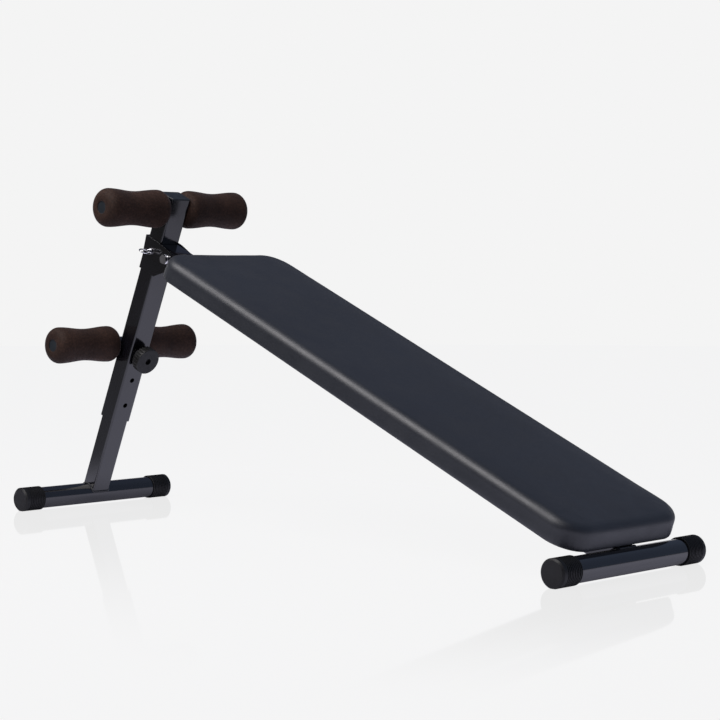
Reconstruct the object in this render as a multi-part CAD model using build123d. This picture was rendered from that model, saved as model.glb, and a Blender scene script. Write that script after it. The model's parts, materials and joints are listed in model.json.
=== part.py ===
from build123d import *
import math
import os

# Decline sit up bench: a folding rectangular-tube frame with a long flat pad, four foam leg rollers,
# a telescopic rear leg and two round crossbar feet.
#
# Row frame, millimetres: +Z up, +X from the high end (rollers) to the low end, +Y across the bench,
# origin on the floor under the middle of the bounding box.
#
# Nearly every piece is drawn in the leaning frame of the post:
#   X = q, square to the post and along the backbone; Y = across; Z = p, up along the post.
# Its origin is the axis of the rear foot tube. tilt() then stands the piece in the row frame.

# ---- driving dimensions -------------------------------------------------------------------
lean = 23.6                    # post from the vertical, and pad from the horizontal, degrees
foot_spacing = 1350.0          # between the two foot tube axes

foot_tube_r = 21.0
foot_tube_wall = 2.0
foot_half_width = 186.0        # to the outer face of a foot cap
foot_cap_length = 47.0
foot_cap_r = 23.6
foot_cap_end_wall = 5.0
foot_cap_bevel = 3.0
foot_cap_lip = 0.6             # bevel round the open end
foot_flat_width = 10.0         # flat moulded under each cap, where it stands on the floor
cap_groove_count = 9
cap_groove_pitch = 4.0
cap_groove_depth = 1.0
cap_groove_start = 2.0

post_size = 40.0               # outer post, along the pad
post_width = 46.0              # outer post, across the bench
post_wall = 1.5
post_bottom = 171.5
post_top = 652.0
post_corner_r = 4.0
post_cap_t = 3.0
post_cap_skirt = 12.0
post_cap_wall = 2.0
post_cap_bevel = 1.0
inner_size = 35.0              # inner post, along the pad
inner_width = 41.0
inner_wall = 2.0
inner_top = 450.0
inner_corner_r = 3.5
bush_wall = 0.7                # nylon liner between the two posts
bush_length = 60.0
bush_running_gap = 0.2
bush_lip = 0.05

hole_pitch = 56.0              # height and roller holes down the front and back of the post
first_hole = 208.4
hole_r = 5.0
hole_count = 3
bush_hole_margin = 1.0
height_steps = 2               # further height settings past the one shown
slot_clearance = 0.5

backbone_size = 40.0
backbone_width = 46.0
backbone_wall = 2.0
backbone_inner_r = 1.5
pivot_q = 47.5                 # fold pivot, on the backbone's centre line
pivot_r = 5.0
bush_r = 8.0                   # spacer tube inside the backbone
running_gap = 0.08             # radial clearance of a turning or sliding pin
head_gap = 1.2                 # between the post and the end of the backbone
nose_margin = 0.6
washer_t = 1.2
pivot_washer_r = 10.0
hex_flats = 17.0
hex_corner_cut = 1.08          # turned corners, as a share of the radius across the flats
pivot_head_t = 5.6
pivot_nut_t = 8.0
bolt_end_length = 3.0          # thread standing out of the nut

bracket_t = 2.4
bracket_side_gap = 0.3
bracket_top = 562.0
bracket_front_top = 557.5
bracket_web_bottom = 528.0
bracket_bottom = 495.0
bracket_front = 60.0
bracket_shoulder_q = 27.0      # where the top and bottom edges turn off towards the front
bracket_front_bottom = 520.0
bracket_web_lean = 3.6         # how much further the top of the web stands off the post
bracket_bend_r = 2.0

pin_p = 537.0
pin_r = 4.0
pin_tip_y = 31.0
pin_tip_bevel = 1.5
pin_head_bevel = 1.0
pin_collar_r = 6.5
pin_collar_length = 2.5
pin_neck_length = 5.4
ring_hole_inset = 3.3          # from the end of the pin to the middle of its eye
ring_r = 10.3                  # to the middle of the wire
ring_wire_r = 1.4
pin_eye_r = 2.0
ring_lean = 0.4                # lets the curved wire sit in the straight eye

pad_head_q = 158.2
pad_low_q = 1228.4
pad_width = 300.0
pad_thickness = 39.0
pad_corner_r = 53.0
pad_top_edge_r = 12.0
pad_bottom_edge_r = 3.0
pad_plate_t = 3.0
pad_plate_size = (46.0, 230.0)
pad_plate_q = (330.0, 1040.0)
pad_screw_y = 95.0
pad_screw_r = 3.0
pad_plate_corner_r = 8.0
screw_head_r = 6.0
screw_head_t = 3.0
screw_head_round = 1.4
screw_tip_gap = 2.0            # board left above the end of a screw
board_t = 12.0
board_inset = 7.0

upper_axle_p = 626.0
lower_axle_q = -36.6
axle_r = 8.0
axle_wall = 1.5
roller_inner_y = 23.4
roller_outer_y = 174.0
roller_upper_r = 37.0
roller_lower_r = 35.7
roller_waist_drop = 4.3
roller_end_r = 17.0
roller_bore_gap = 0.3
roller_end_pocket = 4.5
axle_cap_r = 14.0
axle_cap_t = 3.0
axle_cap_plug = 12.0
cap_pocket_gap = 0.8
cap_pocket_depth_gap = 0.3

mount_r = 14.0                 # lower roller mount, behind the post
mount_half_width = 22.0

knob_r = 26.3
knob_back_q = 33.5
knob_front_q = 51.0
knob_edge_r = 1.2
knob_stem_r = 10.0
knob_flutes = 26
knob_flute_r = 1.7
knob_face_land = 2.2           # plain rim in front of the flutes
knob_recess_r = 6.5
knob_recess_depth = 7.0
knob_floor = 3.0               # left between the recess and the end of the bolt
knob_washer_r = 12.0
knob_washer_bore_gap = 0.3
bolt_tip_length = 8.0          # bolt behind the post
bolt_tip_bevel = 1.0

# ---- derived places -----------------------------------------------------------------------
foot_axis_z = math.sqrt(foot_cap_r**2 - (foot_flat_width / 2)**2)
backbone_p = foot_spacing * math.sin(math.radians(lean))
front_foot_q = foot_spacing * math.cos(math.radians(lean))
pad_bottom = backbone_p + backbone_size / 2 + pad_plate_t
pad_top = pad_bottom + pad_thickness
knob_p = first_hole + 2 * hole_pitch
half_post = post_size / 2
bracket_inner_y = post_width / 2 + bracket_side_gap
bracket_outer_y = bracket_inner_y + bracket_t
head_washer_y = -bracket_outer_y - washer_t
nut_washer_y = bracket_outer_y + washer_t
pin_collar_y = -bracket_outer_y - pin_collar_length
pin_end_y = pin_collar_y - pin_neck_length
ring_hole_y = pin_end_y + ring_hole_inset
height_travel = height_steps * hole_pitch
bolt_tip_q = -half_post - bolt_tip_length
knob_bolt_end_q = knob_front_q - knob_recess_depth - knob_floor
stand = Location((-foot_spacing / 2, 0, foot_axis_z), (0, lean, 0))
FRONT, REAR = front_foot_q, 0.0


def tilt(shape):
    """Stand a piece drawn in the post's leaning frame in the row frame."""
    return stand * shape


def save(name, shape, leaning=True):
    """Write one named sub-part as its own STEP file."""
    placed = tilt(shape) if leaning else shape
    export_step(placed, f"parts/{name}.step")


def across(radius, length, q, p, y=0.0):
    """Cylinder lying across the bench, centred at (q, y, p)."""
    return Pos(q, y, p) * Rot(90, 0, 0) * Cylinder(radius, length)


def along_q(radius, q0, q1, p, y=0.0):
    """Cylinder square to the post, from q0 to q1."""
    return Pos((q0 + q1) / 2, y, p) * Rot(0, 90, 0) * Cylinder(radius, abs(q1 - q0))


def span_box(q0, q1, y0, y1, p0, p1):
    """Box between two corners."""
    centre = Pos((q0 + q1) / 2, (y0 + y1) / 2, (p0 + p1) / 2)
    return centre * Box(q1 - q0, y1 - y0, p1 - p0)


def tube_section(size, width, wall, corner_r, inner_r):
    """Ring-shaped section of a rectangular tube."""
    return RectangleRounded(size, width, corner_r) - RectangleRounded(
        size - 2 * wall, width - 2 * wall, inner_r)


def tube_up(size, width, wall, corner_r, p0, p1):
    """Rectangular tube standing along the post."""
    section = tube_section(size, width, wall, corner_r, corner_r - wall)
    return Pos(0, 0, p0) * extrude(section, amount=p1 - p0)


def revolve_across(profile_points, q, p):
    """Turn a (y, radius) outline about the cross axis at (q, p)."""
    outline = Polyline(*[(r, y) for y, r in profile_points], close=True)
    turned = revolve(make_face(outline), axis=Axis.Y)
    return Pos(q, 0, p) * turned


# ---- feet ---------------------------------------------------------------------------------
def foot_tube(q):
    """Round crossbar, open inside, with its ends inside the caps."""
    length = 2 * (foot_half_width - foot_cap_end_wall)
    outer = across(foot_tube_r, length, q, 0 if q == REAR else backbone_p)
    inner = across(foot_tube_r - foot_tube_wall, length + 1, q, 0 if q == REAR else backbone_p)
    return outer - inner


def foot_cap(q, side):
    """Ribbed rubber cap pushed over one end of a crossbar; side is -1 or +1."""
    inboard = foot_half_width - foot_cap_length
    groove = cap_groove_pitch / 2
    points = [(inboard, foot_tube_r), (inboard, foot_cap_r - foot_cap_lip),
              (inboard + foot_cap_lip, foot_cap_r)]
    for number in range(cap_groove_count):
        y = inboard + cap_groove_start + number * cap_groove_pitch
        points += [(y, foot_cap_r), (y, foot_cap_r - cap_groove_depth)]
        points += [(y + groove, foot_cap_r - cap_groove_depth), (y + groove, foot_cap_r)]
    points += [(foot_half_width - foot_cap_bevel, foot_cap_r)]
    points += [(foot_half_width, foot_cap_r - foot_cap_bevel)]
    points += [(foot_half_width, 0), (foot_half_width - foot_cap_end_wall, 0)]
    points += [(foot_half_width - foot_cap_end_wall, foot_tube_r)]
    return revolve_across([(side * y, r) for y, r in points], q, 0 if q == REAR else backbone_p)


def floor_flat(cap):
    """Trim a placed cap to the floor, which leaves its standing flat."""
    big = 4 * foot_spacing
    return cap - Pos(0, 0, -big / 2) * Box(big, big, big)


# ---- rear leg, telescoping in the post ------------------------------------------------------
def inner_post():
    """Inner post: coped on the rear crossbar, drilled, and slotted front and back for the knob's bolt."""
    tube = tube_up(inner_size, inner_width, inner_wall, inner_corner_r, 0, inner_top)
    tube -= across(foot_tube_r, post_width * 2, 0, 0)
    slot_r = hole_r + slot_clearance
    for step in range(hole_count - 1):
        tube -= along_q(slot_r, -inner_size, inner_size, first_hole + step * hole_pitch)
    for end in (knob_p, knob_p + height_travel):
        tube -= along_q(slot_r, -inner_size, inner_size, end)
    tube -= span_box(-inner_size, inner_size, -slot_r, slot_r, knob_p, knob_p + height_travel)
    return tube


# ---- post ---------------------------------------------------------------------------------
def outer_post():
    """Outer post with its row of height holes, the axle hole and the lock pin hole."""
    tube = tube_up(post_size, post_width, post_wall, post_corner_r, post_bottom, post_top)
    for step in range(hole_count):
        tube -= along_q(hole_r + running_gap, -post_size, post_size, first_hole + step * hole_pitch)
    tube -= across(axle_r, post_width * 2, 0, upper_axle_p)
    tube -= across(pin_r + running_gap, post_width * 2, 0, pin_p)
    return tube


def post_guide_bush():
    """Thin nylon sleeve inside the foot of the outer post, which the inner post slides in."""
    inset = 2 * post_wall + 2 * bush_lip
    bush = tube_up(post_size - inset, post_width - inset, bush_wall, post_corner_r - post_wall,
                   post_bottom, post_bottom + bush_length)
    return bush - along_q(hole_r + bush_hole_margin, -post_size, post_size, first_hole)


def post_top_cap():
    """Plastic plug that closes the top of the post."""
    outline = RectangleRounded(post_size, post_width, post_corner_r)
    lid = Pos(0, 0, post_top) * extrude(outline, amount=post_cap_t)
    lid = chamfer(lid.faces().sort_by(Axis.Z)[-1].edges(), post_cap_bevel)
    skirt = tube_up(post_size - 2 * post_wall, post_width - 2 * post_wall, post_cap_wall,
                    post_corner_r - post_wall, post_top - post_cap_skirt, post_top)
    return lid + skirt


def hinge_bracket():
    """U bracket round the post: two cheek plates joined by a leaning web behind the post."""
    web_rise = bracket_top - bracket_web_bottom
    web_foot = -half_post - bracket_t
    side = make_face(Polyline(
        (web_foot - bracket_web_lean, bracket_top), (bracket_shoulder_q, bracket_top),
        (bracket_front, bracket_front_top), (bracket_front, bracket_front_bottom),
        (bracket_shoulder_q, bracket_bottom), (-half_post, bracket_bottom),
        (-half_post, bracket_web_bottom), (web_foot, bracket_web_bottom), close=True))
    channel = make_face(Polyline(
        (-half_post - 2 * bracket_web_lean, bracket_top + web_rise),
        (2 * bracket_front, bracket_top + web_rise),
        (2 * bracket_front, bracket_bottom - 1), (-half_post, bracket_bottom - 1),
        (-half_post, bracket_web_bottom), close=True))
    bracket = extrude(Plane.XZ * side, amount=bracket_outer_y, both=True)
    bends = [edge for edge in bracket.edges()
             if edge.center().X < -half_post and edge.length > web_rise and abs(edge.center().Y) > 1]
    bracket = fillet(bends, bracket_bend_r) - extrude(Plane.XZ * channel, amount=bracket_inner_y, both=True)
    bracket -= across(pivot_r + running_gap, 2 * post_width, pivot_q, backbone_p)
    return bracket - across(pin_r + running_gap, 2 * post_width, 0, pin_p)


# ---- fold pivot ---------------------------------------------------------------------------
def hex_head(thickness, q, p, y):
    """Hexagon across the bench from y to y + thickness, with its corners turned off."""
    head = Pos(q, y + thickness / 2, p) * Rot(90, 0, 0) * extrude(
        RegularPolygon(hex_flats / 2, 6, major_radius=False), amount=thickness / 2, both=True)
    return head & across(hex_flats / 2 * hex_corner_cut, thickness, q, p, y + thickness / 2)


def pivot_bolt():
    """Hexagon-headed bolt through both cheek plates and the backbone."""
    shank_end = nut_washer_y + pivot_nut_t + bolt_end_length
    shank = across(pivot_r, shank_end - head_washer_y, pivot_q, backbone_p, (shank_end + head_washer_y) / 2)
    return shank + hex_head(pivot_head_t, pivot_q, backbone_p, head_washer_y - pivot_head_t)


def pivot_nut():
    """Lock nut on the far end of the pivot bolt."""
    nut = hex_head(pivot_nut_t, pivot_q, backbone_p, nut_washer_y)
    return nut - across(pivot_r, 4 * pivot_nut_t, pivot_q, backbone_p, nut_washer_y)


def pivot_washer(side):
    """Plain washer outside one cheek plate."""
    y = side * (bracket_outer_y + washer_t / 2)
    return across(pivot_washer_r, washer_t, pivot_q, backbone_p, y) - across(
        pivot_r, 3 * washer_t, pivot_q, backbone_p, y)


def pivot_bush():
    """Steel spacer tube welded inside the backbone, which turns on the bolt."""
    length = backbone_width - 2 * backbone_wall
    return across(bush_r, length, pivot_q, backbone_p) - across(
        pivot_r + running_gap, length + 1, pivot_q, backbone_p)


# ---- lock pin -----------------------------------------------------------------------------
def lock_pin():
    """Pull pin through both cheek plates and the post, with a collar and an eye for the ring."""
    shank = across(pin_r, pin_tip_y - pin_collar_y, 0, pin_p, (pin_tip_y + pin_collar_y) / 2)
    shank = chamfer(shank.edges().group_by(Axis.Y)[-1], pin_tip_bevel)
    collar = across(pin_collar_r, pin_collar_length, 0, pin_p, pin_collar_y + pin_collar_length / 2)
    neck = across(pin_r, pin_neck_length, 0, pin_p, pin_collar_y - pin_neck_length / 2)
    neck = chamfer(neck.edges().group_by(Axis.Y)[0], pin_head_bevel)
    eye = along_q(pin_eye_r, -2 * pin_r, 2 * pin_r, pin_p, ring_hole_y)
    return shank + collar + neck - eye


def lock_ring():
    """Wire ring through the eye of the lock pin."""
    return Pos(0, ring_hole_y - ring_r + ring_lean, pin_p) * Torus(ring_r, ring_wire_r)


# ---- backbone and pad ---------------------------------------------------------------------
def backbone_tube():
    """Rectangular tube from the fold pivot down to the front crossbar, coped on it."""
    half = backbone_size / 2
    start = half_post + head_gap
    section = tube_section(backbone_size, backbone_width, backbone_wall, post_corner_r, backbone_inner_r)
    tube = Pos(start, 0, backbone_p) * Rot(0, 90, 0) * extrude(section, amount=front_foot_q - start)
    tube -= across(foot_tube_r, 2 * backbone_width, front_foot_q, backbone_p)
    nose_r = pivot_q - half_post - nose_margin
    corner = span_box(start - 1, pivot_q, -backbone_width, backbone_width, backbone_p - half - 1, backbone_p)
    tube -= corner - across(nose_r, 3 * backbone_width, pivot_q, backbone_p)
    return tube - across(pivot_r + running_gap, 2 * backbone_width, pivot_q, backbone_p)


def pad_plan(inset, corner_r):
    """Plan outline of the pad, as a face in the plane of the pad's underside."""
    length = pad_low_q - pad_head_q - 2 * inset
    centre = Pos((pad_low_q + pad_head_q) / 2, 0, pad_bottom)
    return centre * RectangleRounded(length, pad_width - 2 * inset, corner_r)


def pad_board():
    """Plywood board that the cushion is upholstered on."""
    return extrude(pad_plan(board_inset, pad_corner_r - board_inset), amount=board_t)


def pad_cushion():
    """Foam and cover as one closed solid, wrapped round the board."""
    block = extrude(pad_plan(0, pad_corner_r), amount=pad_thickness)
    block = fillet(block.faces().sort_by(Axis.Z)[-1].edges(), pad_top_edge_r)
    block = fillet(block.faces().sort_by(Axis.Z)[0].edges(), pad_bottom_edge_r)
    return block - pad_board()


def pad_plate(q):
    """Steel strap welded across the backbone, which carries the board."""
    half_q, half_y = pad_plate_size[0] / 2, pad_plate_size[1] / 2
    plate = span_box(q - half_q, q + half_q, -half_y, half_y, pad_bottom - pad_plate_t, pad_bottom)
    plate = fillet(plate.edges().filter_by(Axis.Z), pad_plate_corner_r)
    for side in (-1, 1):
        plate -= Pos(q, side * pad_screw_y, pad_bottom) * Cylinder(pad_screw_r, 4 * pad_plate_t)
    return plate


def pad_screw(q, side):
    """Pan-head screw up through a strap into the board."""
    on_base = (Align.CENTER, Align.CENTER, Align.MIN)
    under = Pos(q, side * pad_screw_y, pad_bottom - pad_plate_t)
    shank = under * Cylinder(pad_screw_r, pad_plate_t + board_t - screw_tip_gap, align=on_base)
    head = under * Pos(0, 0, -screw_head_t) * Cylinder(screw_head_r, screw_head_t, align=on_base)
    return shank + fillet(head.faces().sort_by(Axis.Z)[0].edges(), screw_head_round)


def board_with_holes():
    """The board, drilled for its screws."""
    board = pad_board()
    for q in pad_plate_q:
        for side in (-1, 1):
            hole = Pos(q, side * pad_screw_y, pad_bottom)
            board -= hole * Cylinder(pad_screw_r, 2 * (board_t - screw_tip_gap))
    return board


# ---- rollers ------------------------------------------------------------------------------
def axle(q, p):
    """Tube that carries a pair of rollers."""
    length = 2 * (roller_outer_y - roller_end_pocket)
    return across(axle_r, length, q, p) - across(axle_r - axle_wall, length + 1, q, p)


def axle_cap(q, p, side):
    """Plastic plug with a round flange, which keeps a roller on its axle."""
    seat = roller_outer_y - roller_end_pocket
    flange = across(axle_cap_r, axle_cap_t, q, p, side * (seat + axle_cap_t / 2))
    plug = across(axle_r - axle_wall, axle_cap_plug, q, p, side * (seat - axle_cap_plug / 2))
    return flange + plug


def foam_roller(q, p, bulge_r, side):
    """Foam roller: a waisted barrel with rounded ends, bored for its axle."""
    y0, y1 = roller_inner_y, roller_outer_y
    middle = (y0 + y1) / 2
    bore = axle_r + roller_bore_gap
    pocket = axle_cap_r + cap_pocket_gap
    pocket_y = y1 - roller_end_pocket - cap_pocket_depth_gap
    crest_0, crest_1 = y0 + roller_end_r, y1 - roller_end_r
    end_face_r = bulge_r - roller_end_r
    diagonal = roller_end_r * math.sqrt(0.5)
    waist = Spline(
        (bulge_r, crest_0), (bulge_r - roller_waist_drop, middle), (bulge_r, crest_1),
        tangents=[(0, 1), (0, 1)])
    round_0 = ThreePointArc(
        (end_face_r, y0), (end_face_r + diagonal, crest_0 - diagonal), (bulge_r, crest_0))
    round_1 = ThreePointArc(
        (bulge_r, crest_1), (end_face_r + diagonal, crest_1 + diagonal), (end_face_r, y1))
    inside = Polyline(
        (end_face_r, y1), (pocket, y1), (pocket, pocket_y), (bore, pocket_y), (bore, y0), (end_face_r, y0))
    barrel = revolve(make_face(round_0 + waist + round_1 + inside), axis=Axis.Y)
    if side < 0:
        barrel = mirror(barrel, about=Plane.XZ)
    return Pos(q, 0, p) * barrel


def lower_roller_mount():
    """Block behind the post: holds the lower axle, and takes the knob's bolt."""
    body = across(mount_r, 2 * mount_half_width, lower_axle_q, knob_p)
    body += span_box(lower_axle_q, -half_post, -half_post, half_post, knob_p - mount_r, knob_p + mount_r)
    body -= across(axle_r, 4 * mount_half_width, lower_axle_q, knob_p)
    return body - along_q(pivot_r + running_gap, lower_axle_q, 0, knob_p)


# ---- knob ---------------------------------------------------------------------------------
def knob():
    """Fluted hand knob with a stem and a recess in its face."""
    rim = along_q(knob_r, knob_back_q, knob_front_q, knob_p)
    rim = fillet(rim.edges().group_by(Axis.X)[-1], knob_edge_r)
    flute_start = knob_back_q - 1
    for i in range(knob_flutes):
        angle = 2 * math.pi * i / knob_flutes
        y, p = knob_r * math.sin(angle), knob_p + knob_r * math.cos(angle)
        rim -= along_q(knob_flute_r, flute_start, knob_front_q - knob_face_land, p, y)
    stem = along_q(knob_stem_r, half_post + washer_t, knob_back_q, knob_p)
    body = rim + stem
    body -= along_q(knob_recess_r, knob_front_q - knob_recess_depth, knob_front_q + 1, knob_p)
    return body - along_q(pivot_r, 0, knob_bolt_end_q, knob_p)


def knob_bolt():
    """Threaded rod moulded in the knob, through the post and into the roller mount."""
    rod = along_q(pivot_r, bolt_tip_q, knob_bolt_end_q, knob_p)
    return chamfer(rod.edges().group_by(Axis.X)[0], bolt_tip_bevel)


def knob_washer():
    """Washer between the knob's stem and the post."""
    return along_q(knob_washer_r, half_post, half_post + washer_t, knob_p) - along_q(
        pivot_r + knob_washer_bore_gap, 0, 2 * half_post, knob_p)


# ---- write every piece --------------------------------------------------------------------
os.makedirs("parts", exist_ok=True)

SIDES = {"left": -1, "right": 1}

for end, q in (("rear", REAR), ("front", FRONT)):
    save(f"{end}_foot_tube", foot_tube(q))
    for side_name, side in SIDES.items():
        save(f"{end}_foot_cap_{side_name}", floor_flat(tilt(foot_cap(q, side))), leaning=False)

save("inner_post", inner_post())
save("outer_post", outer_post())
save("post_guide_bush", post_guide_bush())
save("post_top_cap", post_top_cap())
save("hinge_bracket", hinge_bracket())

save("pivot_bolt", pivot_bolt())
save("pivot_nut", pivot_nut())
save("pivot_washer_left", pivot_washer(-1))
save("pivot_washer_right", pivot_washer(1))
save("pivot_bush", pivot_bush())
save("lock_pin", lock_pin())
save("lock_ring", lock_ring())

save("backbone_tube", backbone_tube())
save("pad_board", board_with_holes())
save("pad_cushion", pad_cushion())
save("pad_plate_head", pad_plate(pad_plate_q[0]))
save("pad_plate_foot", pad_plate(pad_plate_q[1]))
save("pad_screws", Compound([pad_screw(q, side) for q in pad_plate_q for side in (-1, 1)]))

for level, q, p, radius in (("upper", 0.0, upper_axle_p, roller_upper_r),
                            ("lower", lower_axle_q, knob_p, roller_lower_r)):
    save(f"{level}_roller_axle", axle(q, p))
    for side_name, side in SIDES.items():
        save(f"{level}_axle_cap_{side_name}", axle_cap(q, p, side))
        save(f"{level}_roller_{side_name}", foam_roller(q, p, radius, side))

save("lower_roller_mount", lower_roller_mount())
save("knob", knob())
save("knob_bolt", knob_bolt())
save("knob_washer", knob_washer())
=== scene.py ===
import json
import math

import bmesh
import bpy
import numpy as np
from mathutils import Matrix, Vector, noise
from mathutils.kdtree import KDTree

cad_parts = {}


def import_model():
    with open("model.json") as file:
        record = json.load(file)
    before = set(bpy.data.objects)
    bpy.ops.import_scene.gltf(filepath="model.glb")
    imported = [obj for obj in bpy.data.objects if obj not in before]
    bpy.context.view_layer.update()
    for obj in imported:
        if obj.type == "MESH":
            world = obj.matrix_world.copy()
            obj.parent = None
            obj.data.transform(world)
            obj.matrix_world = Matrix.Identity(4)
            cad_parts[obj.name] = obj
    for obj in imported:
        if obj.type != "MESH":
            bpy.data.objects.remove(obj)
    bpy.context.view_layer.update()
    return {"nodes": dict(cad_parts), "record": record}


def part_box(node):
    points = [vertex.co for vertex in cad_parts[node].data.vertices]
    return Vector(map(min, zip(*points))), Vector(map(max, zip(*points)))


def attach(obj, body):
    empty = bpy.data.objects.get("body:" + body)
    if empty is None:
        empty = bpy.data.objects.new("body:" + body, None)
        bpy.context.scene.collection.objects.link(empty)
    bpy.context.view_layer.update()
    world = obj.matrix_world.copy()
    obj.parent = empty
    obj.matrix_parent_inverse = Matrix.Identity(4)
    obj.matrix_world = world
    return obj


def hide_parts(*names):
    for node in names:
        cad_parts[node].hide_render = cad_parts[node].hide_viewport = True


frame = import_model()
record = frame["record"]
scene = bpy.context.scene

# Metres, row frame: +Z up, +X from the roller end to the low end of the pad, +Y across the bench.
# Pieces are laid out in the post's leaning frame, (q, y, p): q square to the post and along the pad,
# y across, p up along the post. Its origin is the axis of the rear foot tube.

MM = 0.001
SIDES = {"left": -1, "right": 1}
LEVELS = ("upper", "lower")


# ---- places, read from the frame ------------------------------------------------------------
def mount(name):
    return next(m for m in record["mounts"] if m["name"] == name)


def box_centre(node):
    low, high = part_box(node)
    return (low + high) / 2


UP_POST = Vector(mount("pad_top")["axis"]).normalized()
ALONG = Vector((UP_POST.z, 0, -UP_POST.x))
REAR_AXIS = box_centre("rear_foot_tube")
LEAN = Matrix((
    (ALONG.x, 0, UP_POST.x, REAR_AXIS.x),
    (ALONG.y, 1, UP_POST.y, REAR_AXIS.y),
    (ALONG.z, 0, UP_POST.z, REAR_AXIS.z),
    (0, 0, 0, 1)))
UNLEAN = LEAN.inverted()


def leaning_box(node):
    """Lowest and highest corners of a CAD node in the leaning frame."""
    co = np.array([UNLEAN @ v.co for v in frame["nodes"][node].data.vertices])
    return Vector(co.min(0)), Vector(co.max(0))


# ---- node helpers -----------------------------------------------------------------------------
class Graph:
    """The node tree of a material or world, with short ways to add to it."""

    def __init__(self, owner):
        owner.use_nodes = True
        self.tree = owner.node_tree
        self.tree.nodes.clear()

    def link(self, source, target):
        self.tree.links.new(source, target)

    def add(self, kind, inputs=None, **properties):
        """A new node. Its inputs, by name or number, are values or other nodes' outputs."""
        node = self.tree.nodes.new(kind)
        for name, value in properties.items():
            setattr(node, name, value)
        for key, value in (inputs or {}).items():
            if isinstance(value, bpy.types.NodeSocket):
                self.link(value, node.inputs[key])
            else:
                node.inputs[key].default_value = value
        return node

    def math(self, operation, a, b):
        return self.add("ShaderNodeMath", {0: a, 1: b}, operation=operation).outputs[0]

    def smooth(self, source, start, end, low=0.0, high=1.0):
        """Goes smoothly from low, where source is at start, to high, where it is at end."""
        inputs = {"Value": source, "From Min": start, "From Max": end, "To Min": low, "To Max": high}
        return self.add("ShaderNodeMapRange", inputs, interpolation_type="SMOOTHSTEP").outputs[0]

    def blend(self, amount, low, high):
        """The low colour where amount is 0, the high colour where it is 1."""
        low, high = ((*colour, 1) if isinstance(colour, tuple) else colour for colour in (low, high))
        inputs = {"Factor": amount, "A": low, "B": high}
        return self.add("ShaderNodeMix", inputs, data_type="RGBA").outputs["Result"]


class Finish(Graph):
    """A material with one Principled shader."""

    def __init__(self, name, **values):
        self.material = bpy.data.materials.new(name)
        super().__init__(self.material)
        self.shader = self.add("ShaderNodeBsdfPrincipled")
        self.add("ShaderNodeOutputMaterial", {"Surface": self.shader.outputs[0]})
        self.coords = self.add("ShaderNodeTexCoord").outputs["Object"]
        for key, value in values.items():
            self.shader.inputs[key.replace("_", " ")].default_value = value

    def stretched(self, scale):
        return self.add("ShaderNodeMapping", {"Vector": self.coords, "Scale": scale}).outputs[0]

    def noise(self, scale, detail=4.0, roughness=0.5, vector=None):
        inputs = {"Vector": vector or self.coords, "Scale": scale, "Detail": detail, "Roughness": roughness}
        return self.add("ShaderNodeTexNoise", inputs).outputs["Fac"]

    def cells(self, scale, feature="F1", randomness=1.0):
        inputs = {"Vector": self.coords, "Scale": scale, "Randomness": randomness}
        return self.add("ShaderNodeTexVoronoi", inputs, feature=feature).outputs["Distance"]

    def colour(self, source, *stops):
        """Base colour from a ramp of (place, colour) stops."""
        node = self.add("ShaderNodeValToRGB", {0: source})
        ramp = node.color_ramp
        while len(ramp.elements) < len(stops):
            ramp.elements.new(0.5)
        for element, (place, colour) in zip(ramp.elements, stops):
            element.position = place
            element.color = (*colour, 1)
        self.link(node.outputs[0], self.shader.inputs["Base Color"])

    def roughness(self, source, low, high):
        """Roughness from low to high over the range that a noise mostly keeps to."""
        inputs = {"Value": source, "From Min": 0.3, "From Max": 0.7, "To Min": low, "To Max": high}
        self.link(self.add("ShaderNodeMapRange", inputs).outputs[0], self.shader.inputs["Roughness"])

    def bump(self, height, distance, strength, onto=None):
        inputs = {"Height": height, "Distance": distance, "Strength": strength}
        if onto is not None:
            inputs["Normal"] = onto
        normal = self.add("ShaderNodeBump", inputs).outputs[0]
        self.link(normal, self.shader.inputs["Normal"])
        return normal


# ---- materials --------------------------------------------------------------------------------
def powder_coat():
    """Gloss black powder coat: a deep clear gloss over faint orange peel, with a little settled dust."""
    f = Finish("frame_paint", IOR=1.58, Coat_Weight=0.35, Coat_Roughness=0.05, Coat_IOR=1.5)
    f.colour(f.noise(9.0, 5.0), (0.3, (0.0030, 0.0030, 0.0042)), (0.75, (0.0050, 0.0050, 0.0068)))
    f.roughness(f.noise(45.0, 5.0), 0.10, 0.17)
    peel = f.bump(f.noise(700.0, 2.0), 0.02 * MM, 0.25)
    f.bump(f.noise(90.0, 2.0), 0.08 * MM, 0.15, onto=peel)
    return f.material


def vinyl():
    """Dark blue-black upholstery vinyl with a fine embossed grain."""
    f = Finish("pad_vinyl", IOR=1.6, Sheen_Weight=0.04, Sheen_Roughness=0.5)
    f.colour(f.noise(3.5, 6.0), (0.25, (0.0052, 0.0070, 0.0115)), (0.8, (0.0080, 0.0105, 0.0165)))
    f.roughness(f.noise(22.0, 5.0), 0.44, 0.53)
    grain = f.math("MINIMUM", f.cells(620.0, "DISTANCE_TO_EDGE"), 0.12)
    fine = f.bump(grain, 1.1 * MM, 0.28)
    f.bump(f.noise(38.0, 4.0), 0.7 * MM, 0.12, onto=fine)
    return f.material


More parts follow.
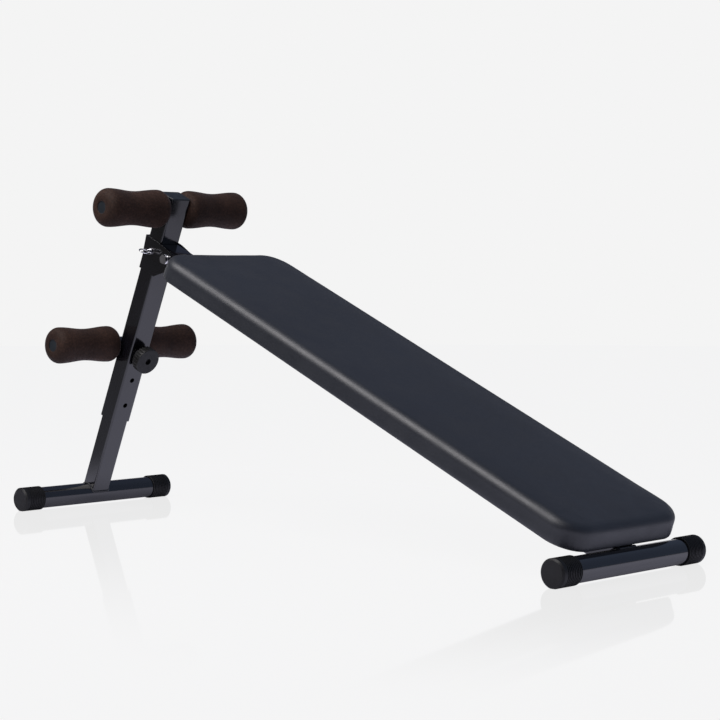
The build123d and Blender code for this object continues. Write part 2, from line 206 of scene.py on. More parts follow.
def roller_foam():
    """Dark brown closed-cell foam sleeve with a fine pored skin."""
    f = Finish("roller_foam", IOR=1.4, Specular_IOR_Level=0.3, Sheen_Weight=0.13, Sheen_Roughness=0.28,
               Sheen_Tint=(0.74, 0.74, 0.84, 1))
    speckle = f.math("MULTIPLY", f.noise(300.0, 5.0, 0.8), 3.0)
    mottled = f.math("MULTIPLY", f.math("ADD", f.noise(25.0, 2.0, 0.4), speckle), 0.25)
    f.colour(mottled, (0.34, (0.010, 0.0042, 0.0024)), (0.50, (0.024, 0.0112, 0.0070)),
             (0.66, (0.056, 0.028, 0.0185)))
    f.roughness(f.noise(240.0, 3.0), 0.62, 0.85)
    pores = f.bump(f.cells(700.0), 0.6 * MM, 0.45)
    f.bump(f.noise(330.0, 5.0, 0.7), 0.8 * MM, 0.5, onto=pores)
    return f.material


def rubber():
    """Moulded black rubber, slightly dusty."""
    f = Finish("foot_rubber", IOR=1.5, Specular_IOR_Level=0.28)
    f.colour(f.noise(30.0, 6.0), (0.3, (0.0052, 0.0052, 0.0054)), (0.8, (0.0090, 0.0090, 0.0092)))
    f.roughness(f.noise(90.0, 4.0), 0.42, 0.62)
    f.bump(f.noise(700.0, 4.0, 0.7), 0.12 * MM, 0.35)
    return f.material


def moulded_plastic(name, dark, light, rough):
    """Satin moulded plastic with a fine spark-eroded texture."""
    f = Finish(name, IOR=1.48, Specular_IOR_Level=0.35)
    f.colour(f.noise(45.0, 5.0), (0.3, dark), (0.8, light))
    f.roughness(f.noise(130.0, 4.0), rough - 0.06, rough + 0.08)
    f.bump(f.noise(1400.0, 3.0, 0.6), 0.06 * MM, 0.4)
    return f.material


def plated(name, colour, rough, swirl):
    """Plated steel: bright, with faint turning marks and handling haze."""
    f = Finish(name, Metallic=1.0)
    f.colour(f.noise(140.0, 5.0), (0.3, tuple(0.82 * c for c in colour)), (0.7, colour))
    f.roughness(f.noise(300.0, 4.0), rough * 0.7, rough * 1.5)
    f.bump(f.noise(swirl, 3.0, 0.5, f.stretched((1, 6, 1))), 0.05 * MM, 0.2)
    return f.material


def plywood():
    """Sealed plywood, with the grain along the pad."""
    f = Finish("pad_board", IOR=1.45)
    streaks = f.noise(18.0, 8.0, 0.6, f.stretched((1.2, 14.0, 3.0)))
    f.colour(streaks, (0.25, (0.30, 0.185, 0.095)), (0.5, (0.44, 0.30, 0.17)), (0.8, (0.53, 0.38, 0.23)))
    f.roughness(f.noise(60.0, 4.0), 0.5, 0.72)
    f.bump(streaks, 0.3 * MM, 0.4)
    return f.material


def nylon():
    """Natural nylon liner."""
    f = Finish("nylon", IOR=1.53, Subsurface_Weight=0.1)
    f.colour(f.noise(50.0, 4.0), (0.3, (0.62, 0.60, 0.54)), (0.8, (0.72, 0.70, 0.65)))
    f.roughness(f.noise(80.0, 3.0), 0.4, 0.55)
    f.bump(f.noise(500.0, 3.0), 0.08 * MM, 0.3)
    return f.material


def weld_metal():
    """Painted weld bead: like the powder coat, but lighter and rougher."""
    f = Finish("frame_paint_weld", IOR=1.5)
    f.colour(f.noise(120.0, 4.0), (0.3, (0.010, 0.011, 0.013)), (0.7, (0.018, 0.019, 0.022)))
    f.roughness(f.noise(200.0, 4.0), 0.25, 0.45)
    f.bump(f.noise(520.0, 3.0), 0.2 * MM, 0.5)
    return f.material


def dust_cloth():
    """Black non-woven cloth with pressed dimples."""
    f = Finish("pad_dust_cloth", IOR=1.4, Specular_IOR_Level=0.2)
    f.colour(f.noise(160.0, 6.0), (0.3, (0.010, 0.010, 0.010)), (0.8, (0.018, 0.018, 0.018)))
    f.roughness(f.noise(90.0, 3.0), 0.75, 0.95)
    f.bump(f.cells(480.0, randomness=0.15), 0.4 * MM, 0.5)
    return f.material


DUST_CLOTH = dust_cloth()
MATERIALS = {
    "frame_paint": powder_coat(),
    "pad_vinyl": vinyl(),
    "roller_foam": roller_foam(),
    "foot_rubber": rubber(),
    "knob_plastic": moulded_plastic("knob_plastic", (0.005, 0.005, 0.005), (0.009, 0.009, 0.009), 0.47),
    "cap_plastic": moulded_plastic("cap_plastic", (0.012, 0.015, 0.018), (0.020, 0.025, 0.030), 0.34),
    "chrome": plated("chrome", (0.80, 0.80, 0.83), 0.12, 220.0),
    "zinc_steel": plated("zinc_steel", (0.58, 0.58, 0.60), 0.30, 160.0),
    "pad_board": plywood(),
    "nylon": nylon(),
}
WELD = weld_metal()
node_slot = {part["node"]: part["material_slot"] for part in record["subparts"]}

for node, obj in frame["nodes"].items():
    obj.data.materials.clear()
    obj.data.materials.append(MATERIALS[node_slot[node]])

# Sheet and moulded parts have slightly broken edges that catch the light.
BROKEN_EDGES = {"hinge_bracket": 0.9 * MM, "knob": 0.35 * MM}
SHARP = math.radians(40)
for node, width in BROKEN_EDGES.items():
    joined = frame["nodes"][node].modifiers.new("joined", "WELD")
    joined.merge_threshold = 0.01 * MM
    broken = frame["nodes"][node].modifiers.new("broken", "BEVEL")
    broken.width = width
    broken.segments = 2
    broken.limit_method = "ANGLE"
    broken.angle_limit = SHARP
    broken.harden_normals = True


# ---- mesh helpers -----------------------------------------------------------------------------
def add_piece(name, mesh, slot, body, stands_for=(), material=None):
    """A new visible piece: its mesh is already in the row frame."""
    obj = bpy.data.objects.new(name, mesh)
    scene.collection.objects.link(obj)
    mesh.materials.clear()
    mesh.materials.append(material or MATERIALS[slot])
    for polygon in mesh.polygons:
        polygon.use_smooth = True
    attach(obj, body)
    if stands_for:
        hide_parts(*stands_for)
    return obj


def mesh_from(name, verts, faces):
    mesh = bpy.data.meshes.new(name)
    mesh.from_pydata([tuple(v) for v in verts], [], faces)
    mesh.update()
    bm = bmesh.new()
    bm.from_mesh(mesh)
    bmesh.ops.recalc_face_normals(bm, faces=bm.faces)
    bm.to_mesh(mesh)
    bm.free()
    return mesh


def ring_surface(rings, loop=False):
    """Quads between successive rings of points, with a fan over each end unless the rings form a loop."""
    verts = [Vector(v) for ring in rings for v in ring]
    count = len(rings[0])
    faces = []
    for i in range(len(rings) if loop else len(rings) - 1):
        a, b = i * count, ((i + 1) % len(rings)) * count
        for k in range(count):
            m = (k + 1) % count
            faces.append((a + k, a + m, b + m, b + k))
    if not loop:
        for start in (0, (len(rings) - 1) * count):
            hub = len(verts)
            verts.append(sum(verts[start:start + count], Vector()) / count)
            faces += [(start + k, start + (k + 1) % count, hub) for k in range(count)]
    return verts, faces


def lathe_across(outline, q, p, steps):
    """Closed solid turned about the cross axis at (q, p) from (y, radius) points, both ends on the axis."""
    angles = [2 * math.pi * k / steps for k in range(steps)]
    return ring_surface([[LEAN @ Vector((q + r * math.cos(a), y, p + r * math.sin(a))) for a in angles]
                         for y, r in outline])


# ---- pad --------------------------------------------------------------------------------------
PAD_LOW, PAD_HIGH = leaning_box("pad_cushion")
PAD_CORNER = 53 * MM
PAD_TURN = 1.6 * MM                 # radius where the cover turns under the board
PAD_ROUND = (19 * MM, 17.5 * MM)    # how far the soft top edge reaches in and down
PAD_ROUND_POWER = 2.2               # 2 is an ellipse; more is squarer
PAD_PROUD = 1.7 * MM                # how far the covered foam stands above the plain block
PAD_CROWN = 0.8 * MM                # further rise to the middle
PAD_CLEAR = 0.1 * MM                # gap between the cover's underside and the block's
UNDER_INSETS = (90 * MM, 45 * MM, 15 * MM)
TURN_STEPS, SIDE_STEPS, ROUND_STEPS, TOP_STEPS = 4, 4, 16, 11
TOP_STOP = 3 * MM                   # how far from the middle line the top's last ring is

# The cover is swollen by the cloth solver, as a coarse copy whose movement the fine cover takes over.
PAD_VOXEL = 8 * MM
PAD_REACH = 1.6 * MM                # the furthest that a point may move
PRESSURE = 4.0
SWELL_FRAMES = 20
PINNED_BELOW = 6 * MM
EVENING_PASSES = 6
NEIGHBOURS = 6
FREE_FROM, FREE_OVER = 4 * MM, 14 * MM   # height where the fine cover starts to move, and over which it is freed

GATHER = 0.3 * MM
GATHER_HEIGHT = 0.6                 # share of the pad's height that the gathers reach
GATHER_PITCH = 26.0                 # folds in each radian of corner
GATHER_WANDER = (0.8, 9.0)          # how much, and how often, the folds' spacing varies

HEM_WIDTH = 24 * MM
HEM_THICK = 1.1 * MM
HEM_STEPS = 40                      # round each corner
PLEAT = 0.28 * MM
BOARD_INSET = 7 * MM
STAPLE = (9 * MM, 1.1 * MM, 0.7 * MM)
STAPLE_PITCH = 38 * MM
STAPLE_SKEW = 0.22                  # radians
DUST_THICK = 0.25 * MM
DUST_DROP = 0.35 * MM               # middle of the cloth, below the board
DUST_WAVE = 0.1 * MM
DUST_EDGE = HEM_WIDTH * 0.7         # how far in from the pad's outline the cloth ends


def plan_ring(inset, p, per_corner=16, steps=(1, 1)):
    """The pad's rounded outline drawn in by inset, at height p, as points in the leaning frame."""
    low, high = PAD_LOW, PAD_HIGH
    r = max(PAD_CORNER - inset, 1 * MM)
    arcs = []
    for q, y, start in ((high.x, high.y, 0), (low.x, high.y, 90), (low.x, low.y, 180), (high.x, low.y, 270)):
        centre_q = q - (inset + r) * (1 if q == high.x else -1)
        centre_y = y - (inset + r) * (1 if y == high.y else -1)
        angles = [math.radians(start + 90 * k / per_corner) for k in range(per_corner + 1)]
        arcs.append([Vector((centre_q + r * math.cos(a), centre_y + r * math.sin(a), p)) for a in angles])
    points = []
    for k, arc in enumerate(arcs):
        following = arcs[(k + 1) % 4][0]
        count = steps[k % 2]
        points += arc + [arc[-1].lerp(following, i / count) for i in range(1, count)]
    return points


def edge_profile():
    """(inset, height) of the cover from its turn under the board to the start of the flat top."""
    top = PAD_HIGH.z - PAD_LOW.z + PAD_PROUD
    side_top = top - PAD_ROUND[1]
    turn = [math.pi / 2 * k / TURN_STEPS for k in range(TURN_STEPS + 1)]
    points = [(PAD_TURN * (1 - math.sin(a)), PAD_TURN * (1 - math.cos(a))) for a in turn]
    points += [(0, PAD_TURN + (side_top - PAD_TURN) * k / SIDE_STEPS) for k in range(1, SIDE_STEPS)]
    power = 2 / PAD_ROUND_POWER
    for k in range(ROUND_STEPS + 1):
        a = math.pi / 2 * k / ROUND_STEPS
        points.append((PAD_ROUND[0] * (1 - math.cos(a) ** power), side_top + PAD_ROUND[1] * math.sin(a) ** power))
    return points


def cover_rings(per_corner, steps):
    """Rings of the cover from the middle of its underside to the middle of its top."""
    outline = [(inset, 0) for inset in UNDER_INSETS] + edge_profile()
    start, top = outline[-1]
    last = (PAD_HIGH.y - PAD_LOW.y) / 2 - TOP_STOP
    for k in range(1, TOP_STEPS + 1):
        t = k / TOP_STEPS
        outline.append((start + (last - start) * t, top + PAD_CROWN * math.sin(math.pi / 2 * t) ** 2))
    return [[LEAN @ point for point in plan_ring(inset, PAD_LOW.z + PAD_CLEAR + height, per_corner, steps)]
            for inset, height in outline]


def remeshed(obj, voxel):
    modifier = obj.modifiers.new("remesh", "REMESH")
    modifier.mode = "VOXEL"
    modifier.voxel_size = voxel
    apply_modifiers(obj)


def apply_modifiers(obj):
    """Bakes the object's modifiers into its mesh."""
    graph = bpy.context.evaluated_depsgraph_get()
    mesh = bpy.data.meshes.new_from_object(obj.evaluated_get(graph))
    old = obj.data
    obj.modifiers.clear()
    obj.data = mesh
    bpy.data.meshes.remove(old)


def coordinates(mesh):
    co = np.empty(len(mesh.vertices) * 3)
    mesh.vertices.foreach_get("co", co)
    return co.reshape(-1, 3)


def set_coordinates(mesh, co):
    mesh.vertices.foreach_set("co", co.reshape(-1))
    mesh.update()


def swell(obj, pinned):
    """Blows the cover up with the cloth solver, keeps the result, and caps how far each point went."""
    start = coordinates(obj.data)
    group = obj.vertex_groups.new(name="pinned")
    group.add([int(i) for i in np.nonzero(pinned)[0]], 1.0, "REPLACE")
    cloth = obj.modifiers.new("cloth", "CLOTH")
    cloth.settings.quality = 5
    cloth.settings.mass = 0.35
    cloth.settings.tension_stiffness = 25
    cloth.settings.compression_stiffness = 25
    cloth.settings.shear_stiffness = 12
    cloth.settings.bending_stiffness = 3.0
    cloth.settings.use_pressure = True
    cloth.settings.uniform_pressure_force = PRESSURE
    cloth.settings.effector_weights.gravity = 0
    cloth.settings.vertex_group_mass = "pinned"
    cloth.collision_settings.use_collision = False
    cloth.point_cache.frame_start = 1
    cloth.point_cache.frame_end = SWELL_FRAMES
    for step in range(1, SWELL_FRAMES + 1):
        scene.frame_set(step)
    apply_modifiers(obj)
    scene.frame_set(1)
    moved = coordinates(obj.data) - start
    length = np.linalg.norm(moved, axis=1, keepdims=True)
    return moved * np.minimum(1.0, PAD_REACH / np.maximum(length, 1e-9))


def to_leaning(co):
    return (co - np.array(REAR_AXIS)) @ np.array([ALONG, (0, 1, 0), UP_POST]).T


def from_leaning(co):
    return co @ np.array([ALONG, (0, 1, 0), UP_POST]) + np.array(REAR_AXIS)


def corner_angles(co):
    """Each leaning-frame point's angle round its corner of the pad, and whether it is at a corner."""
    half = np.array([(PAD_HIGH.x - PAD_LOW.x) / 2, (PAD_HIGH.y - PAD_LOW.y) / 2])
    middle = np.array([(PAD_HIGH.x + PAD_LOW.x) / 2, (PAD_HIGH.y + PAD_LOW.y) / 2])
    offset = np.abs(co[:, :2] - middle) - (half - PAD_CORNER)
    outside = np.maximum(offset, 0)
    return np.arctan2(outside[:, 1], outside[:, 0]), (offset > 0).all(axis=1)


def gather_corners(mesh):
    """Small radial gathers where the cover is pulled round the pad's corners, fading out upwards."""
    co = to_leaning(coordinates(mesh))
    angle, at_corner = corner_angles(co)
    height = (co[:, 2] - PAD_LOW.z) / (PAD_HIGH.z - PAD_LOW.z)
    fade = np.clip(1 - height / GATHER_HEIGHT, 0, 1) ** 1.5
    edge = np.sin(2 * np.clip(angle, 0, math.pi / 2))
    folds = np.sin(angle * GATHER_PITCH + GATHER_WANDER[0] * np.sin(angle * GATHER_WANDER[1])) - 1.0
    push = np.where(at_corner, folds * edge * fade * GATHER, 0)
    middle = (PAD_HIGH + PAD_LOW) / 2
    outward = np.sign(co[:, :2] - np.array([middle.x, middle.y]))
    co[:, 0] += push * np.cos(angle) * outward[:, 0]
    co[:, 1] += push * np.sin(angle) * outward[:, 1]
    set_coordinates(mesh, from_leaning(co))


def evened(mesh, moved, passes):
    """Each point's movement averaged with its neighbours' over and over."""
    ends = np.empty(len(mesh.edges) * 2, dtype=int)
    mesh.edges.foreach_get("vertices", ends)
    ends = ends.reshape(-1, 2)
    count = np.maximum(np.bincount(ends.reshape(-1), minlength=len(moved)), 1)[:, None]
    for _ in range(passes):
        total = np.zeros_like(moved)
        np.add.at(total, ends[:, 0], moved[ends[:, 1]])
        np.add.at(total, ends[:, 1], moved[ends[:, 0]])
        moved = 0.5 * moved + 0.5 * total / count
    return moved


def cloth_swelling():
    """Swells a coarse copy of the cover: where its points start and how far they go."""
    verts, faces = ring_surface(cover_rings(per_corner=12, steps=(40, 8)))
    obj = bpy.data.objects.new("pad_swelling", mesh_from("pad_swelling", verts, faces))
    scene.collection.objects.link(obj)
    remeshed(obj, PAD_VOXEL)
    start = coordinates(obj.data)
    moved = swell(obj, pinned=to_leaning(start)[:, 2] < PAD_LOW.z + PINNED_BELOW)
    mesh = obj.data
    moved = evened(mesh, moved, EVENING_PASSES)
    bpy.data.objects.remove(obj)
    bpy.data.meshes.remove(mesh)
    return start, moved


def take_over(mesh, start, moved):
    """Moves the mesh's points as the nearest of the start points moved, but not where the cover is fixed."""
    tree = KDTree(len(start))
    for i, point in enumerate(start):
        tree.insert(point, i)
    tree.balance()
    co = coordinates(mesh)
    shift = np.array([moved[[hit[1] for hit in tree.find_n(point, NEIGHBOURS)]].mean(axis=0) for point in co])
    height = to_leaning(co)[:, 2] - PAD_LOW.z
    free = np.clip((height - FREE_FROM) / FREE_OVER, 0, 1)[:, None]
    set_coordinates(mesh, co + shift * free)


def pad_cover():
    """Vinyl cover and the foam under it, as one closed padded form."""
    verts, faces = ring_surface(cover_rings(per_corner=48, steps=(80, 14)))
    mesh = mesh_from("pad_cover", verts, faces)
    take_over(mesh, *cloth_swelling())
    gather_corners(mesh)
    piece = add_piece("pad_cover", mesh, "pad_vinyl", "bench", ["pad_cushion"])


def pad_hem():
    """Band of vinyl turned under the board, gathered into pleats round the corners."""
    rings = []
    # (inset, drop below the board in thicknesses), round the band's section
    outline = [(PAD_TURN, 0.3), (PAD_TURN, -1.0), (HEM_WIDTH * 0.5, -1.15), (HEM_WIDTH, -1.0),
               (HEM_WIDTH + 0.8 * MM, -0.4), (HEM_WIDTH + 0.8 * MM, 0.3)]
    for inset, drop in outline:
        ring = plan_ring(inset, PAD_LOW.z + drop * HEM_THICK, HEM_STEPS)
        for k, point in enumerate(ring):
            pleat = math.sin(k * 1.9) * 0.5 + noise.noise(point * 60.0)
            depth = inset / HEM_WIDTH
            at_corner = k % (HEM_STEPS + 1) not in (0, HEM_STEPS)
            if drop < 0 and at_corner:
                point.z += PLEAT * pleat * depth
        rings.append([LEAN @ point for point in ring])
    verts, faces = ring_surface(rings, loop=True)
    add_piece("pad_hem", mesh_from("pad_hem", verts, faces), "pad_vinyl", "bench")


def staple_spots():
    """Middle and direction of every staple: down both long edges and across both ends."""
    line = BOARD_INSET + HEM_WIDTH * 0.42
    low, high = PAD_LOW, PAD_HIGH
    along_count = int((high.x - low.x - 2 * PAD_CORNER) / STAPLE_PITCH)
    across_count = int((high.y - low.y - 2 * PAD_CORNER) / STAPLE_PITCH)
    for k in range(along_count + 1):
        q = low.x + PAD_CORNER + (high.x - low.x - 2 * PAD_CORNER) * k / along_count
        for y in (low.y + line, high.y - line):
            yield q, y, True
    for k in range(across_count + 1):
        y = low.y + PAD_CORNER + (high.y - low.y - 2 * PAD_CORNER) * k / across_count
        for q in (low.x + line, high.x - line):
            yield q, y, False


def pad_staples():
    """The staples' crowns, each a little askew."""
    bm = bmesh.new()
    for number, (q, y, lengthwise) in enumerate(staple_spots()):
        skew = STAPLE_SKEW * noise.noise(Vector((number * 1.7, 0.3, 0.0)))
        turn = Matrix.Rotation(skew + (0 if lengthwise else math.pi / 2), 4, "Z")
        place = Matrix.Translation(Vector((q, y, PAD_LOW.z - 1.05 * HEM_THICK)))
        size = Matrix.Diagonal((*STAPLE, 1))
        bmesh.ops.create_cube(bm, size=1.0, matrix=LEAN @ place @ turn @ size)
    bmesh.ops.bevel(bm, geom=bm.edges[:], offset=0.2 * MM, segments=2, affect="EDGES")
    mesh = bpy.data.meshes.new("pad_staples")
    bm.to_mesh(mesh)
    bm.free()
    add_piece("pad_staples", mesh, "zinc_steel", "bench")


def dust_cover():
    """Thin black cloth stretched over the board's underside, its edges caught under the hem."""
    rings = []
    insets = (110 * MM, 60 * MM, DUST_EDGE)
    for inset, side in [(i, 1) for i in insets] + [(i, -1) for i in reversed(insets)]:
        ring = plan_ring(inset, PAD_LOW.z - DUST_DROP + side * DUST_THICK / 2)
        if inset > DUST_EDGE:
            for point in ring:
                point.z += DUST_WAVE * noise.noise(Vector((point.x, point.y, 0.0)) * 30.0)
        rings.append([LEAN @ point for point in ring])
    verts, faces = ring_surface(rings)
    piece = add_piece("pad_dust_cover", mesh_from("pad_dust_cover", verts, faces), "pad_vinyl", "bench",
                      material=DUST_CLOTH)


pad_cover()
pad_hem()
pad_staples()
dust_cover()


# ---- foam rollers -----------------------------------------------------------------------------
ROLLER_END = 17 * MM                # radius of the rounded ends
ROLLER_WAIST = 4.3 * MM             # how much slimmer the middle is than the crests
ROLLER_POCKET = 14.8 * MM
ROLLER_POCKET_DEPTH = 4.8 * MM
ROLLER_LIP = 11.8 * MM              # the foam closes over the rim of the axle cap
LIP = 1.2 * MM                      # thickness of that lip
END_STEPS, WAIST_STEPS, TURNING_STEPS = 14, 56, 160
FOAM_GRAIN = 0.10 * MM


def roller_outline(inner_y, outer_y, crest):
    """Half section of a roller, from its inner end to the pocket in its outer end, as (y, radius)."""
    end_r = crest - ROLLER_END
    first, last = inner_y + ROLLER_END, outer_y - ROLLER_END
    quarter = [math.pi / 2 * k / END_STEPS for k in range(END_STEPS + 1)]
    outline = [(inner_y, ROLLER_POCKET * 0.6), (inner_y, end_r * 0.8)]
    outline += [(first - ROLLER_END * math.cos(a), end_r + ROLLER_END * math.sin(a)) for a in quarter[:-1]]
    for k in range(WAIST_STEPS + 1):
        t = k / WAIST_STEPS
        outline.append((first + (last - first) * t, crest - ROLLER_WAIST * math.sin(math.pi * t) ** 2))
    outline += [(last + ROLLER_END * math.sin(a), end_r + ROLLER_END * math.cos(a)) for a in quarter[1:]]
    outline += [(outer_y, ROLLER_LIP + LIP), (outer_y - 0.35 * LIP, ROLLER_LIP + 0.35 * LIP),
                (outer_y - LIP, ROLLER_LIP), (outer_y - 1.15 * LIP, ROLLER_LIP + 0.3 * LIP),
                (outer_y - 1.15 * LIP, ROLLER_POCKET), (outer_y - ROLLER_POCKET_DEPTH, ROLLER_POCKET),
                (outer_y - ROLLER_POCKET_DEPTH, ROLLER_POCKET * 0.55)]
    return outline


def foam_roller(level, side_name):
    """One foam sleeve: the CAD barrel's shape with the foam's slightly uneven skin."""
    node = f"{level}_roller_{side_name}"
    low, high = leaning_box(node)
    side = SIDES[side_name]
    inner, outer = sorted((abs(low.y), abs(high.y)))
    crest = (high.x - low.x) / 2 - FOAM_GRAIN
    outline = [(side * y, r) for y, r in roller_outline(inner, outer, crest)]
    centre_q, centre_p = (low.x + high.x) / 2, (low.z + high.z) / 2
    verts, faces = lathe_across(outline, centre_q, centre_p, TURNING_STEPS)
    axis = LEAN @ Vector((centre_q, 0, centre_p))
    for vert in verts:
        out = Vector((vert.x - axis.x, 0, vert.z - axis.z))
        if out.length > ROLLER_POCKET * 1.1:
            grain = noise.noise(vert * 420.0) + 0.6 * noise.noise(vert * 95.0)
            vert += out.normalized() * grain * FOAM_GRAIN * 0.6
    piece = add_piece(f"foam_{node}", mesh_from(node, verts, faces), "roller_foam", node, [node])


for level in LEVELS:
    for side_name in SIDES:
        foam_roller(level, side_name)


# ---- weld beads -------------------------------------------------------------------------------
BEAD = 2.1 * MM                     # radius
RIPPLE = 2.6 * MM                   # pitch
RIPPLE_STEPS = 6
BEAD_STEPS = 10                     # round the bead
WELDED_CORNER = {"inner_post": 3.5 * MM, "backbone_tube": 4 * MM}


def section_loop(width_a, width_b, corner, per_corner=10, per_side=14):
    """Points round a rounded rectangle centred on nought, as (a, b)."""
    points = []
    for start, sa, sb in ((0, 1, 1), (90, -1, 1), (180, -1, -1), (270, 1, -1)):
        for k in range(per_corner + 1):
            angle = math.radians(start + 90 * k / per_corner)
            points.append((sa * (width_a / 2 - corner) + corner * math.cos(angle),
                           sb * (width_b / 2 - corner) + corner * math.sin(angle)))
    filled = []
    for (a0, b0), (a1, b1) in zip(points, points[1:] + points[:1]):
        steps = per_side if math.hypot(a1 - a0, b1 - b0) > 3 * corner / per_corner else 1
        filled += [(a0 + (a1 - a0) * k / steps, b0 + (b1 - b0) * k / steps) for k in range(steps)]
    return filled


def bead(name, path, body, closed=True):
    """Rippled weld bead along a path of leaning-frame points."""
    fine = []
    count = len(path) if closed else len(path) - 1
    for i in range(count):
        start, end = path[i], path[(i + 1) % len(path)]
        steps = max(1, round((end - start).length / (RIPPLE / RIPPLE_STEPS)))
        fine += [start.lerp(end, k / steps) for k in range(steps)]
    if not closed:
        fine.append(path[-1])
    middle = sum(fine, Vector()) / len(fine)
    rings, travelled = [], 0.0
    for i, point in enumerate(fine):
        before = fine[i - 1] if closed or i else point
        after = fine[(i + 1) % len(fine)] if closed or i < len(fine) - 1 else point
        forward = (after - before).normalized()
        out = (point - middle).normalized()
        out = (out - forward * out.dot(forward)).normalized()
        up = forward.cross(out)
        travelled += (point - before).length
        fullness = 1 + 0.13 * math.sin(2 * math.pi * travelled / RIPPLE) + 0.10 * noise.noise(point * 130.0)
        taper = 1.0 if closed else min(1.0, 0.35 + 6 * min(i, len(fine) - 1 - i) / len(fine))
        angles = [2 * math.pi * k / BEAD_STEPS for k in range(BEAD_STEPS)]
        rings.append([LEAN @ (point + (out * math.cos(a) + up * math.sin(a)) * BEAD * fullness * taper)
                      for a in angles])
    verts, faces = ring_surface(rings, loop=closed)
    add_piece(name, mesh_from(name, verts, faces), "frame_paint", body, material=WELD)


def round_on_tube(node, foot_node):
    """Where a rectangular tube meets a round crossbar: loops at the post's foot and the backbone's end."""
    foot_low, foot_high = leaning_box(foot_node)
    foot_r = (foot_high.x - foot_low.x) / 2
    foot_q, foot_p = (foot_low.x + foot_high.x) / 2, (foot_low.z + foot_high.z) / 2
    low, high = leaning_box(node)
    width, corner = high.y - low.y, WELDED_CORNER[node]
    if node == "inner_post":
        depth = high.x - low.x
        return [Vector((a, b, foot_p + math.sqrt(foot_r ** 2 - a ** 2)))
                for a, b in section_loop(depth, width, corner)]
    depth = high.z - low.z
    return [Vector((foot_q - math.sqrt(max(foot_r ** 2 - a ** 2, 0)), b, foot_p + a))
            for a, b in section_loop(min(depth, 2 * foot_r), width, corner)]


def strap_beads():
    """Fillet welds where the two pad straps cross the backbone."""
    backbone_low, backbone_high = leaning_box("backbone_tube")
    reach = backbone_high.y - 5 * MM
    for end in ("head", "foot"):
        low, high = leaning_box(f"pad_plate_{end}")
        for edge_name, q in (("upper", low.x), ("lower", high.x)):
            path = [Vector((q, reach * (k / 10 - 1), low.z)) for k in range(21)]
            bead(f"weld_strap_{end}_{edge_name}", path, "bench", closed=False)


def mount_bead():
    """Weld round the lower roller mount, on the back of the post."""
    low, high = leaning_box("lower_roller_mount")
    post_low, _ = leaning_box("outer_post")
    middle_p = (low.z + high.z) / 2
    loop = section_loop(high.z - low.z, -2 * post_low.y - 6 * MM, 3 * MM)
    bead("weld_roller_mount", [Vector((post_low.x, b, middle_p + a)) for a, b in loop], "post")


bead("weld_rear_foot", round_on_tube("inner_post", "rear_foot_tube"), "leg")
bead("weld_front_foot", round_on_tube("backbone_tube", "front_foot_tube"), "bench")
strap_beads()
mount_bead()


# ---- floor, light, camera ---------------------------------------------------------------------
PALE = (0.905, 0.905, 0.905)        # the even backdrop that the camera sees
WALL = (0.55, 0.55, 0.57)

FLOOR_RADIUS = 9.0
FLOOR_GLOW = 0.878
# FLOOR_FAR and FLOOR_TINT shape the painted pool of light that the gloss sees in the floor: how dim it gets far
# out, and its bluish tint.
FLOOR_FAR = 0.10                    # what the glow fades to in the gloss, far out
FLOOR_TINT = (0.97, 0.96, 1.17)
FLOOR_MATT = (0.02, 0.02, 0.02, 1)
MIRROR = 0.18
MIRROR_ROUGHNESS = 0.04
# Reach of the painted contact shade round the bench's feet and tubes.
PAINTED_SHADE_REACH = 0.07
FOOTPRINT = (0.70, 0.19, 0.0)       # half the bench's length and width
PAINTED_POOL_REACH = (0.15, 1.0)            # metres outside the footprint, from full glow to far, of the painted pool of light
MIRROR_FADE = (0.05, 0.80)          # metres outside the footprint, from clear mirror to none, where the painted sheen takes over


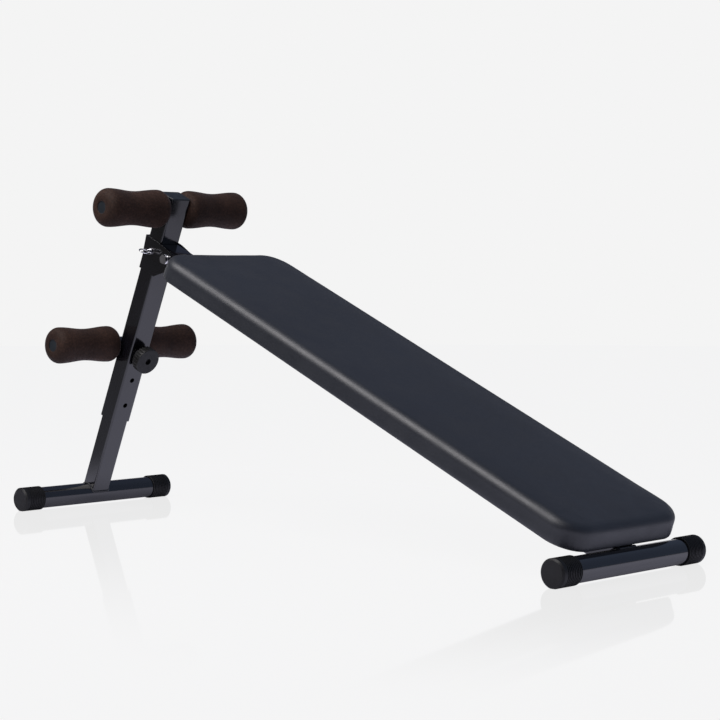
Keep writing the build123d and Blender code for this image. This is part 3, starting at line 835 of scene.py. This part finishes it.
def floor():
    """Plain pale floor with a faint, even mirror in it. To the gloss it also shows a painted pool of light,
    painted contact shade and, further out, a painted sheen.
    """
    bpy.ops.mesh.primitive_circle_add(vertices=96, radius=FLOOR_RADIUS, fill_type="NGON", location=(0, 0, 0))
    obj = bpy.context.object
    obj.name = "floor"
    material = bpy.data.materials.new("floor")
    g = Graph(material)
    outside = g.add("ShaderNodeNewGeometry").outputs["Position"]
    for operation, inputs in (("ABSOLUTE", {}), ("SUBTRACT", {1: FOOTPRINT}), ("MAXIMUM", {1: (0, 0, 0)})):
        outside = g.add("ShaderNodeVectorMath", {0: outside, **inputs}, operation=operation).outputs["Vector"]
    distance = g.add("ShaderNodeVectorMath", {0: outside}, operation="LENGTH").outputs["Value"]
    camera_ray = g.add("ShaderNodeLightPath").outputs["Is Camera Ray"]

    # In the gloss, the floor's glow is a painted pool of light: bright round the bench and dim further out, as
    # under one soft overhead light.
    painted_light_pool = g.smooth(distance, *PAINTED_POOL_REACH, FLOOR_GLOW, FLOOR_FAR)
    # Painted contact shade: ambient occlusion darkens the glow that the gloss sees close to the tubes.
    painted_contact_shade = g.add("ShaderNodeAmbientOcclusion", {"Distance": PAINTED_SHADE_REACH}).outputs["AO"]
    strength = g.add("ShaderNodeMix", {"Factor": camera_ray, "A": g.math("MULTIPLY", painted_light_pool, painted_contact_shade),
                                       "B": FLOOR_GLOW}).outputs["Result"]
    tint = g.blend(camera_ray, tuple(p * c for p, c in zip(PALE, FLOOR_TINT)), PALE)
    glow = g.add("ShaderNodeEmission", {"Color": tint, "Strength": strength})
    matt = g.add("ShaderNodeBsdfDiffuse", {"Color": FLOOR_MATT})

    # The mirror is clear by the feet and gives way further out to an even painted sheen of the same lightness: a
    # glow of the wall's colour in place of its reflection.
    mirror = g.add("ShaderNodeBsdfGlossy", {"Color": (MIRROR, MIRROR, MIRROR, 1), "Roughness": MIRROR_ROUGHNESS})
    even = g.add("ShaderNodeEmission", {"Color": (*(MIRROR * c for c in WALL), 1)})
    sheen = g.add("ShaderNodeMixShader", {0: g.smooth(distance, *MIRROR_FADE), 1: mirror.outputs[0],
                                          2: even.outputs[0]})
    lit = g.add("ShaderNodeAddShader", {0: glow.outputs[0], 1: matt.outputs[0]})
    whole = g.add("ShaderNodeAddShader", {0: lit.outputs[0], 1: sheen.outputs[0]})
    g.add("ShaderNodeOutputMaterial", {"Surface": whole.outputs[0]})
    obj.data.materials.append(material)


LOW_ROOM = (0.095, 0.092, 0.095)
HIGH_ROOM = (0.050, 0.058, 0.095)
ROOM_TURN = (0.05, 0.45)            # heights where the low room gives way to the high room
WINDOW = (0.155, 0.195, 0.29)
WINDOW_TOWARDS = (0.55, 0.70, 0.45)
WINDOW_EDGE = (0.25, 0.95)
WALL_TOWARDS = (-0.70, 0.71, 0.0)
WALL_EDGE = (0.55, 0.9)
WALL_TOP = (0.31, 0.24)             # heights where the wall starts and is full


def world():
    """An even pale backdrop to the camera; to the gloss, a dim studio: neutral low down, bluish overhead,
    with a lighter wall behind the bench and a bluish window side past the low end."""
    scene.world = bpy.data.worlds.new("studio")
    g = Graph(scene.world)
    coords = g.add("ShaderNodeTexCoord").outputs["Generated"]
    height = g.add("ShaderNodeSeparateXYZ", {0: coords}).outputs["Z"]

    def towards(direction):
        return g.add("ShaderNodeVectorMath", {0: coords, 1: direction}, operation="DOT_PRODUCT").outputs["Value"]

    colour = g.blend(g.smooth(height, *ROOM_TURN), LOW_ROOM, HIGH_ROOM)
    colour = g.blend(g.smooth(towards(WINDOW_TOWARDS), *WINDOW_EDGE), colour, WINDOW)
    wall = g.math("MULTIPLY", g.smooth(towards(WALL_TOWARDS), *WALL_EDGE), g.smooth(height, *WALL_TOP))
    lit = g.add("ShaderNodeBackground", {"Color": g.blend(wall, colour, WALL)})
    seen = g.add("ShaderNodeBackground", {"Color": (*PALE, 1)})
    camera_ray = g.add("ShaderNodeLightPath").outputs["Is Camera Ray"]
    mix = g.add("ShaderNodeMixShader", {0: camera_ray, 1: lit.outputs[0], 2: seen.outputs[0]})
    g.add("ShaderNodeOutputWorld", {"Surface": mix.outputs[0]})


LIGHT_AT = (-0.4, -1.35, 2.25)
LIGHT_AIM = (-0.4, 0, 0.3)
LIGHT_SIZE = (2.4, 1.6)
LIGHT_POWER = 78.0
LIGHT_COLOUR = (1.0, 0.97, 0.98)


def softbox():
    """One large soft light, overhead and a little in front."""
    data = bpy.data.lights.new("overhead", "AREA")
    data.shape = "RECTANGLE"
    data.size, data.size_y = LIGHT_SIZE
    data.energy = LIGHT_POWER
    data.color = LIGHT_COLOUR
    obj = bpy.data.objects.new("overhead", data)
    scene.collection.objects.link(obj)
    obj.location = LIGHT_AT
    obj.rotation_euler = (Vector(LIGHT_AIM) - Vector(LIGHT_AT)).to_track_quat("-Z", "Y").to_euler()


CAMERA_AT = (2.5118, -2.4651, 0.4793)
CAMERA_TURN = math.radians(45.4966)     # from looking along -X, towards +Y
CAMERA_TILT = math.radians(2.6495)      # below the horizon
CAMERA_LENS = 97.65
CAMERA_SENSOR = 36.0
CAMERA_FAR = 60.0


def add_camera():
    camera = bpy.data.objects.new("camera", bpy.data.cameras.new("camera"))
    scene.collection.objects.link(camera)
    level = math.cos(CAMERA_TILT)
    look = Vector((-level * math.cos(CAMERA_TURN), level * math.sin(CAMERA_TURN), -math.sin(CAMERA_TILT)))
    camera.location = CAMERA_AT
    camera.rotation_euler = look.to_track_quat("-Z", "Y").to_euler()
    camera.data.lens = CAMERA_LENS
    camera.data.sensor_width = CAMERA_SENSOR
    camera.data.clip_end = CAMERA_FAR
    scene.camera = camera


floor()
world()
softbox()
add_camera()
scene.view_settings.view_transform = "Standard"
